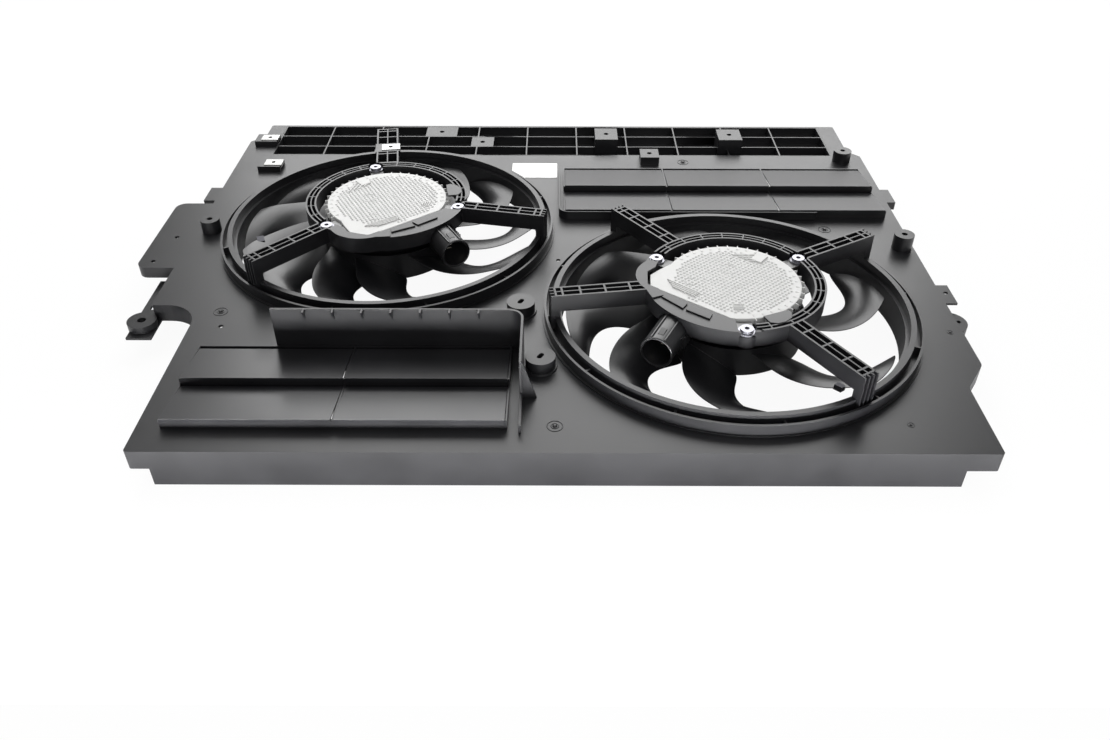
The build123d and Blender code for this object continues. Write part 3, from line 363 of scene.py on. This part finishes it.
FINISHES = {
    "cast_metal": metal("cast_metal", (0.2, 0.2, 0.2), 0.5, 0.08, 400),
    "zinc_steel": metal("zinc_steel", (0.32, 0.32, 0.35), 0.38, 0.08, 300),
    "spring_steel": metal("spring_steel", (0.44, 0.44, 0.43), 0.42, 0.08, 300),
    "bell_steel": metal("bell_steel", (0.42, 0.42, 0.44), 0.35, 0.06, 200),
    "dark_steel": metal("dark_steel", (0.09, 0.09, 0.1), 0.5, 0.08, 300),
    "bearing_steel": metal("bearing_steel", (0.75, 0.75, 0.76), 0.18, 0.05, 200),
    "laminations": metal("laminations", (0.35, 0.35, 0.36), 0.45, 0.08, 900),
    "magnet": metal("magnet", (0.16, 0.16, 0.17), 0.55, 0.08, 500),
    "copper": metal("copper", (0.72, 0.36, 0.2), 0.32, 0.06, 700),
    "contact_metal": metal("contact_metal", (0.75, 0.7, 0.6), 0.28, 0.06, 500),
    "connector_plastic": grained_plastic("connector_plastic", (0.010, 0.010, 0.011),
                                         (0.016, 0.016, 0.017), 0.33, 0.04 * MM),
    "seal_rubber": grained_plastic("seal_rubber", (0.02, 0.02, 0.02), (0.03, 0.03, 0.03),
                                   0.7, 0.04 * MM),
    "board": grained_plastic("board", (0.02, 0.15, 0.06), (0.03, 0.2, 0.08),
                             0.35, 0.02 * MM),
}
MOTOR_FINISHES = {
    "motor_base": "cast_metal",
    "cover_seal": "seal_rubber",
    "circuit_board": "board",
    "connector_pins": "contact_metal",
    "stator_core": "laminations",
    "stator_windings": "copper",
    "bearings": "bearing_steel",
    "motor_screws": "zinc_steel",
    "motor_shaft": "bearing_steel",
    "rotor_bell": "bell_steel",
    "rotor_magnets": "magnet",
    "balance_clip": "dark_steel",
}
for side in ("left", "right"):
    for part, finish in MOTOR_FINISHES.items():
        node = frame["nodes"][side + "_" + part]
        node.data.materials.clear()
        node.data.materials.append(FINISHES[finish])

# Electronics covers: pressure-cast aluminium lids, blasted to a pale pebbled
# skin. Short cooling fins stand round the rim, and the top carries a field of
# blunt studs, bars, two rings, a breather pad by the rim and a faint gate mark.
MOTORS = {
    "left": (Vector((-176.5, 42.5, 39)), 77.5),
    "right": (Vector((198, -130.5, 39)), 0),
}
COVER_TOP = 40
COVER_R = 68
FIN_REACH = 3.6
FIN_ROOT = 6
FIN_THICK = 2.4
FIN_LOW, FIN_TOP = 33.2, 40.6
FIN_FIRST, FIN_PITCH, FIN_COUNT = -98, 8.8, 28
FIN_POINT, FIN_SLOPE = 0.35, 1.2
LUG_ANGLES = (-90, 30, 150)
LUG_CLEAR = 8
COVER_ROUND = 0.9 * MM
DETAIL_ROUND = 0.3 * MM
PIT_SCALE, PIT_DEPTH, PIT_STRENGTH = 1400, 0.15 * MM, 0.4


def cover_skin():
    """Pale blasted aluminium, clouded, with pits finer than a millimetre."""
    material = metal("cover_metal", (0.68, 0.68, 0.67), 0.62, 0.08, 60)
    nodes, links = material.node_tree.nodes, material.node_tree.links
    shader = nodes["Principled BSDF"]
    shader.inputs["Metallic"].default_value = 0.12
    place = nodes.new("ShaderNodeTexCoord")
    cells = nodes.new("ShaderNodeTexVoronoi")
    cells.inputs["Scale"].default_value = PIT_SCALE
    links.new(place.outputs["Object"], cells.inputs["Vector"])
    bump = nodes.new("ShaderNodeBump")
    bump.inputs["Strength"].default_value = PIT_STRENGTH
    bump.inputs["Distance"].default_value = PIT_DEPTH
    links.new(cells.outputs["Distance"], bump.inputs["Height"])
    links.new(bump.outputs["Normal"], shader.inputs["Normal"])
    return material


def bar(x0, x1, y0, y1, z0, z1):
    """Straight bar between two corners, in millimetres."""
    middle = (Vector((x0, y0, z0)) + Vector((x1, y1, z1))) * MM / 2
    bpy.ops.object.select_all(action="DESELECT")
    bpy.ops.mesh.primitive_cube_add(size=1, location=middle)
    piece = bpy.context.object
    piece.scale = ((x1 - x0) * MM, (y1 - y0) * MM, (z1 - z0) * MM)
    bpy.ops.object.transform_apply(location=True, rotation=True, scale=True)
    return piece


def turn_about(piece, angle, centre=(0, 0, 0)):
    """Turns a piece's mesh about an upright line, in degrees and millimetres."""
    pivot = Vector(centre) * MM
    spin = Matrix.Rotation(math.radians(angle), 4, "Z")
    piece.data.transform(Matrix.Translation(pivot) @ spin @ Matrix.Translation(-pivot))


def shift(piece, offset):
    """Moves a piece's mesh, in millimetres."""
    piece.data.transform(Matrix.Translation(Vector(offset) * MM))


def join(pieces):
    """Joins pieces into the first of them."""
    bpy.ops.object.select_all(action="DESELECT")
    for piece in pieces:
        piece.select_set(True)
    bpy.context.view_layer.objects.active = pieces[0]
    bpy.ops.object.join()
    return pieces[0]


def cooling_fin(angle):
    """Wedge on the cover's rim, thick at its root and pointed outside."""
    fin = bar(COVER_R - FIN_ROOT, COVER_R + FIN_REACH, -FIN_THICK / 2, FIN_THICK / 2,
              FIN_LOW, FIN_TOP)
    for corner in fin.data.vertices:
        if corner.co.x > COVER_R * MM:
            corner.co.y *= FIN_POINT
            if corner.co.z > COVER_TOP * MM:
                corner.co.z -= FIN_SLOPE * MM
    turn_about(fin, angle)
    return fin


# Bars: how many in each group, and each group's first place, step and width
BAR_COUNT = 4
BAR_LOW, BAR_TOP = COVER_TOP - 0.4, COVER_TOP + 1.5
FAR_BARS_LEFT, FAR_BARS_RIGHT, FAR_BARS_SHORTER = 6, 30, 5.5
FAR_BARS_Y, FAR_BARS_STEP, FAR_BAR = 48.5, -4, 1.4
NEAR_BARS_LEFT, NEAR_BARS_RIGHT = -7, 2.6
NEAR_BARS_Y, NEAR_BARS_STEP, NEAR_BAR = -52.2, 2.4, 1
SLANTED_BARS_PLACE, SLANTED_BARS_STEP = (-66.5, 1), (1.2, -4.4)
SLANTED_BARS_LENGTH, SLANTED_BARS_SHORTER, SLANTED_BAR, SLANTED_ANGLE = 39, 4, 1.2, -41
GATE_PLACE, GATE_LENGTH, GATE_BAR, GATE_ANGLE, GATE_HEIGHT = (-27, -36.5), 58, 0.7, 40, 0.2


def cast_bars():
    """Three groups of low parallel bars and the gate mark on the cover's top."""
    bars = []
    for i in range(BAR_COUNT):
        y = FAR_BARS_Y + FAR_BARS_STEP * i
        bars.append(bar(FAR_BARS_LEFT + FAR_BARS_SHORTER * i, FAR_BARS_RIGHT, y, y + FAR_BAR,
                        BAR_LOW, BAR_TOP))
        y = NEAR_BARS_Y + NEAR_BARS_STEP * i
        bars.append(bar(NEAR_BARS_LEFT, NEAR_BARS_RIGHT, y, y + NEAR_BAR, BAR_LOW, BAR_TOP))
        slanted = bar(0, SLANTED_BARS_LENGTH - SLANTED_BARS_SHORTER * i, -SLANTED_BAR / 2,
                      SLANTED_BAR / 2, BAR_LOW, BAR_TOP)
        turn_about(slanted, SLANTED_ANGLE)
        shift(slanted, (SLANTED_BARS_PLACE[0] + SLANTED_BARS_STEP[0] * i,
                        SLANTED_BARS_PLACE[1] + SLANTED_BARS_STEP[1] * i, 0))
        bars.append(slanted)
    gate = bar(0, GATE_LENGTH, -GATE_BAR / 2, GATE_BAR / 2, BAR_LOW, COVER_TOP + GATE_HEIGHT)
    turn_about(gate, GATE_ANGLE)
    shift(gate, (*GATE_PLACE, 0))
    bars.append(gate)
    return bars


# Rings: centre x, centre y and radius of each
CAST_RINGS = ((-43, -1.7, 6.5), (-2, 22, 9))
RING_BEAD = 0.6


def cast_ring(x, y, radius):
    """Low round bead on the cover's top."""
    bpy.ops.object.select_all(action="DESELECT")
    bpy.ops.mesh.primitive_torus_add(location=(x * MM, y * MM, COVER_TOP * MM),
                                     major_radius=radius * MM, minor_radius=RING_BEAD * MM,
                                     major_segments=48, minor_segments=8)
    ring = bpy.context.object
    bpy.ops.object.transform_apply(location=True, rotation=True, scale=True)
    return ring


# Breather pad: from and to along its radius, half width, height, angle
BREATHER_START, BREATHER_END, BREATHER_HALF = 46, 62, 6
BREATHER_SUNK, BREATHER_HEIGHT, BREATHER_ANGLE = 3, 1.8, 52
# Studs: the rows lie on two diagonals, each a share of the pitch apart
STUD_PITCH = 5.2
STUD_SHARE_X, STUD_SHARE_Y = 0.62, 0.55
STUD_FOOT, STUD_TOP, STUD_HEIGHT, STUD_SUNK = 1.9, 0.7, 1.0, 0.2
STUD_REACH = 58.5
STUD_CHORD_GAP = 5
STUD_SIDES = 8
CHORD_X, CHORD_Y = (-72.5, -15.9), (-19.6, -64.0)


def beyond_chord(x, y):
    """How far a point lies past the cover's straight edge, negative inside."""
    along = Vector((CHORD_X[1] - CHORD_X[0], CHORD_Y[1] - CHORD_Y[0])).normalized()
    outward = Vector((along.y, -along.x))
    return (Vector((x, y)) - Vector((CHORD_X[0], CHORD_Y[0]))).dot(outward)


def cast_studs():
    """Diagonal field of small blunt studs over the cover's top, as one mesh."""
    corners, faces = [], []
    rows = int(2 * STUD_REACH / STUD_PITCH)
    for row in range(-rows, rows + 1):
        for column in range(-rows, rows + 1):
            x = (column - row) * STUD_PITCH * STUD_SHARE_X
            y = (column + row) * STUD_PITCH * STUD_SHARE_Y
            if math.hypot(x, y) > STUD_REACH or beyond_chord(x, y) > -STUD_CHORD_GAP:
                continue
            first = len(corners)
            for radius, z in ((STUD_FOOT, COVER_TOP - STUD_SUNK),
                              (STUD_TOP, COVER_TOP + STUD_HEIGHT)):
                for side in range(STUD_SIDES):
                    angle = 2 * math.pi * side / STUD_SIDES
                    corners.append(((x + radius * math.cos(angle)) * MM,
                                    (y + radius * math.sin(angle)) * MM, z * MM))
            for side in range(STUD_SIDES):
                after = (side + 1) % STUD_SIDES
                faces.append((first + side, first + after, first + STUD_SIDES + after,
                              first + STUD_SIDES + side))
            faces.append([first + STUD_SIDES + side for side in range(STUD_SIDES)])
            faces.append([first + side for side in reversed(range(STUD_SIDES))])
    mesh = bpy.data.meshes.new("studs")
    mesh.from_pydata(corners, [], faces)
    piece = bpy.data.objects.new("studs", mesh)
    bpy.context.collection.objects.link(piece)
    return piece


cover_metal = cover_skin()
for side, (centre, turn) in MOTORS.items():
    cover = clean_copy(side + "_electronics_cover", side + "_cover_casting")
    round_edges(cover, COVER_ROUND, 3)
    extras = cast_bars()
    for x, y, radius in CAST_RINGS:
        extras.append(cast_ring(x, y, radius))
    breather = bar(BREATHER_START, BREATHER_END, -BREATHER_HALF, BREATHER_HALF,
                   COVER_TOP - BREATHER_SUNK, COVER_TOP + BREATHER_HEIGHT)
    turn_about(breather, BREATHER_ANGLE)
    extras.append(breather)
    for i in range(FIN_COUNT):
        angle = FIN_FIRST + i * FIN_PITCH
        near = min(abs(angle - lug) for lug in LUG_ANGLES)
        if near > LUG_CLEAR:
            extras.append(cooling_fin(angle))
    top = join(extras)
    round_edges(top, DETAIL_ROUND)
    turn_about(top, turn)
    shift(top, centre)
    studs = cast_studs()
    turn_about(studs, turn)
    shift(studs, centre)
    cover = join([cover, top, studs])
    dress(cover, cover_metal, "cover_metal", side + "_electronics_cover")

# Connectors: black nylon barrels for the harness plugs. Each has a rolled lip
# at its mouth, two keying ribs, a latch ramp on top and a locking comb beside.
PLUGS = {"left": (-26.3, -64.3, 221.9), "right": (-58.2, -44.6, 243.4)}
PLUG_Z = 22
BARREL_R = 16
BARREL_START, BARREL_END = 12, 60
BARREL_ROUND, RIB_ROUND = 0.4 * MM, 0.25 * MM
LIP_BEAD, LIP_INSET = 1.3, 0.8
KEY_RIBS_Y, KEY_RIB, KEY_RIB_FOOT = (-7.5, 6.3), 1.2, 4
RAMP_START, RAMP_END, RAMP_HALF, RAMP_HEIGHT, RAMP_SLOPE = 18, 8, 3, 1.4, 1.2
COMB_TEETH, COMB_FIRST, COMB_PITCH, COMB_TOOTH = 4, 6, 4, 1.4
COMB_FOOT, COMB_REACH, COMB_LOW, COMB_TOP = 1.5, 2.6, -7, 5


def mouth_lip():
    """Rolled lip round the barrel's open end."""
    bpy.ops.object.select_all(action="DESELECT")
    bpy.ops.mesh.primitive_torus_add(major_radius=(BARREL_R - LIP_INSET) * MM,
                                     minor_radius=LIP_BEAD * MM,
                                     major_segments=56, minor_segments=12,
                                     rotation=(0, math.pi / 2, 0))
    lip = bpy.context.object
    bpy.ops.object.transform_apply(location=True, rotation=True, scale=True)
    shift(lip, (BARREL_END - 1, 0, 0))
    return lip


for side, (centre, turn) in MOTORS.items():
    barrel = clean_copy(side + "_connector", side + "_connector_housing")
    round_edges(barrel, BARREL_ROUND)
    ribs = [mouth_lip()]
    for y in KEY_RIBS_Y:
        ribs.append(bar(BARREL_START, BARREL_END - 2, y, y + KEY_RIB,
                        BARREL_R - KEY_RIB_FOOT, BARREL_R))
    ramp = bar(BARREL_END - RAMP_START, BARREL_END - RAMP_END, -RAMP_HALF, RAMP_HALF,
               BARREL_R - 1, BARREL_R + RAMP_HEIGHT)
    middle = (BARREL_END - (RAMP_START + RAMP_END) / 2) * MM
    for corner in ramp.data.vertices:
        if corner.co.x > middle and corner.co.z > BARREL_R * MM:
            corner.co.z -= RAMP_SLOPE * MM
    ribs.append(ramp)
    for i in range(COMB_TEETH):
        x = BARREL_START + COMB_FIRST + i * COMB_PITCH
        ribs.append(bar(x, x + COMB_TOOTH, BARREL_R - COMB_FOOT, BARREL_R + COMB_REACH,
                        COMB_LOW, COMB_TOP))
    # Back of the comb, a step longer and wider than the teeth all round
    ribs.append(bar(BARREL_START + 4, BARREL_START + 24, BARREL_R - COMB_FOOT, BARREL_R + 0.4,
                    COMB_LOW - 1, COMB_TOP + 1))
    details = join(ribs)
    round_edges(details, RIB_ROUND)
    x, y, angle = PLUGS[side]
    turn_about(details, angle)
    shift(details, (x, y, PLUG_Z))
    turn_about(details, turn)
    shift(details, centre)
    housing = join([barrel, details])
    dress(housing, FINISHES["connector_plastic"], "connector_plastic", side + "_connector")

# Carrier plates: flat closing plates moulded on the hub ring, two along the
# connector side and a round-ended one beside the front screw.
PLATE_THICK, SIDE_PLATE_THICK = 1.6, 2.2
PLATE_SUNK = 0.5
CHORD_PLATES = (
    ((-76.0, -33.5), (-70.0, -30.5), (-51.5, -46.0), (-57.0, -54.5)),
    ((-54.5, -56.5), (-49.5, -48.0), (-29.5, -64.0), (-33.5, -72.5)),
)
SIDE_PLATE = ((18.0, -68.0), (31.0, -62.5), (43.5, -57.5), (46.5, -62.0), (45.0, -70.5),
              (38.0, -77.5), (30.0, -80.5), (22.5, -79.0))
SILL_TOP = 41.5


def flat_plate(outline, low, high):
    """Plate with straight sides, raised from an outline in millimetres."""
    mesh = bpy.data.meshes.new("plate")
    corners = [(x * MM, y * MM, low * MM) for x, y in outline]
    mesh.from_pydata(corners, [], [range(len(corners))])
    piece = bpy.data.objects.new("plate", mesh)
    bpy.context.collection.objects.link(piece)
    only(piece)
    bpy.ops.object.mode_set(mode="EDIT")
    bpy.ops.mesh.select_all(action="SELECT")
    bpy.ops.mesh.extrude_region_move(TRANSFORM_OT_translate={"value": (0, 0, (high - low) * MM)})
    bpy.ops.mesh.select_all(action="SELECT")
    bpy.ops.mesh.normals_make_consistent(inside=False)
    bpy.ops.object.mode_set(mode="OBJECT")
    return piece


for side, (centre, turn) in MOTORS.items():
    plates = [flat_plate(outline, SILL_TOP - PLATE_SUNK, SILL_TOP + PLATE_THICK)
              for outline in CHORD_PLATES]
    plates.append(flat_plate(SIDE_PLATE, SILL_TOP, SILL_TOP + SIDE_PLATE_THICK))
    closing = join(plates)
    closing.name = side + "_carrier_plates"
    round_edges(closing, EDGE_ROUND)
    turn_about(closing, turn)
    shift(closing, centre)
    closing.data.materials.append(shroud_plastic)
    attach(closing, "shroud")

# Arm ends: four upright ribs on the end face of each narrow arm, with three
# slots between them, down into the ring's channel.
ARM_ANGLES = {"left": (-11.5, 228.0), "right": (30.5, 126.0, 188.3, 301.5)}
ARM_END, ARM_HALF = 183, 8.5
END_RIBS, END_RIB, END_RIB_REACH = 4, 1.7, 4.2
END_RIB_LOW, END_RIB_TOP = 4, 43
END_RIB_ROUND = 0.4 * MM
for side, (centre, turn) in MOTORS.items():
    ribs = []
    for angle in ARM_ANGLES[side]:
        for i in range(END_RIBS):
            y = -ARM_HALF + i * (2 * ARM_HALF - END_RIB) / (END_RIBS - 1)
            rib = bar(ARM_END - 1, ARM_END + END_RIB_REACH, y, y + END_RIB,
                      END_RIB_LOW, END_RIB_TOP)
            turn_about(rib, angle)
            ribs.append(rib)
    slotted = join(ribs)
    slotted.name = side + "_arm_end_ribs"
    round_edges(slotted, END_RIB_ROUND)
    shift(slotted, centre)
    slotted.data.materials.append(shroud_plastic)
    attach(slotted, "shroud")

# Mould marks on the panel: round gate scars with a bead and a sunk nub, and
# the base flanges of the two oval-slot bosses.
PANEL_FRAME = Vector((18, -343.5, 39))
GATE_SCARS = ((-346.5, 213), (0, 35), (170, 570), (318.5, 389))
SMALL_SCARS = ((398.6, 180), (316.8, 38))
SCAR_R, SMALL_SCAR_R = 7.0, 3.0
BEAD, SMALL_BEAD = 0.5, 0.4
NUB_R, SMALL_NUB_R = 2.4, 1.6
NUB_HEIGHT, SMALL_NUB_HEIGHT = 1.6, 1.0
STUB_SUNK = 0.3
OVAL_BOSSES = ((-35.4, 215.0), (-13.9, 121.6))
FLANGE_R, FLANGE_HEIGHT = 16.5, 2.0
MARK_ROUND = 0.2 * MM


def bead(x, y, radius, thick):
    """Round bead lying on the panel."""
    bpy.ops.object.select_all(action="DESELECT")
    bpy.ops.mesh.primitive_torus_add(major_radius=radius * MM, minor_radius=thick * MM,
                                     major_segments=40, minor_segments=8)
    ring = bpy.context.object
    shift(ring, Vector((x, y, 0)) + PANEL_FRAME)
    return ring


def stub(x, y, radius, height, taper):
    """Short round stub on the panel, narrower on top."""
    bpy.ops.object.select_all(action="DESELECT")
    bpy.ops.mesh.primitive_cone_add(vertices=32, radius1=radius * MM, radius2=radius * taper * MM,
                                    depth=(height + STUB_SUNK) * MM)
    piece = bpy.context.object
    shift(piece, Vector((x, y, (height - STUB_SUNK) / 2)) + PANEL_FRAME)
    return piece


marks = []
for x, y in GATE_SCARS:
    marks.append(bead(x, y, SCAR_R, BEAD))
    marks.append(bead(x, y, NUB_R + 1, BEAD))
    marks.append(stub(x, y, NUB_R, NUB_HEIGHT, 0.5))
for x, y in SMALL_SCARS:
    marks.append(bead(x, y, SMALL_SCAR_R, SMALL_BEAD))
    marks.append(stub(x, y, SMALL_NUB_R, SMALL_NUB_HEIGHT, 0.6))
for x, y in OVAL_BOSSES:
    marks.append(stub(x, y, FLANGE_R, FLANGE_HEIGHT, 0.96))
scars = join(marks)
scars.name = "panel_mould_marks"
round_edges(scars, MARK_ROUND)
scars.data.materials.append(shroud_plastic)
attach(scars, "shroud")

# Spring nuts and the blank label: bent zinc-plated strip round the tongues of
# the clip pads, and a plain white film with no lettering.
NUT_ROUND = 0.2 * MM
FILM_GRAIN = 900
nuts = clean_copy("clip_nuts", "clip_nuts_bent")
round_edges(nuts, NUT_ROUND)
dress(nuts, FINISHES["spring_steel"], "spring_steel", "clip_nuts")

label_film = grained_plastic("label_film", (0.84, 0.84, 0.83), (0.9, 0.9, 0.89), 0.3,
                             0.02 * MM, FILM_GRAIN)
label = frame["nodes"]["blank_label"]
label.data.materials.clear()
label.data.materials.append(label_film)
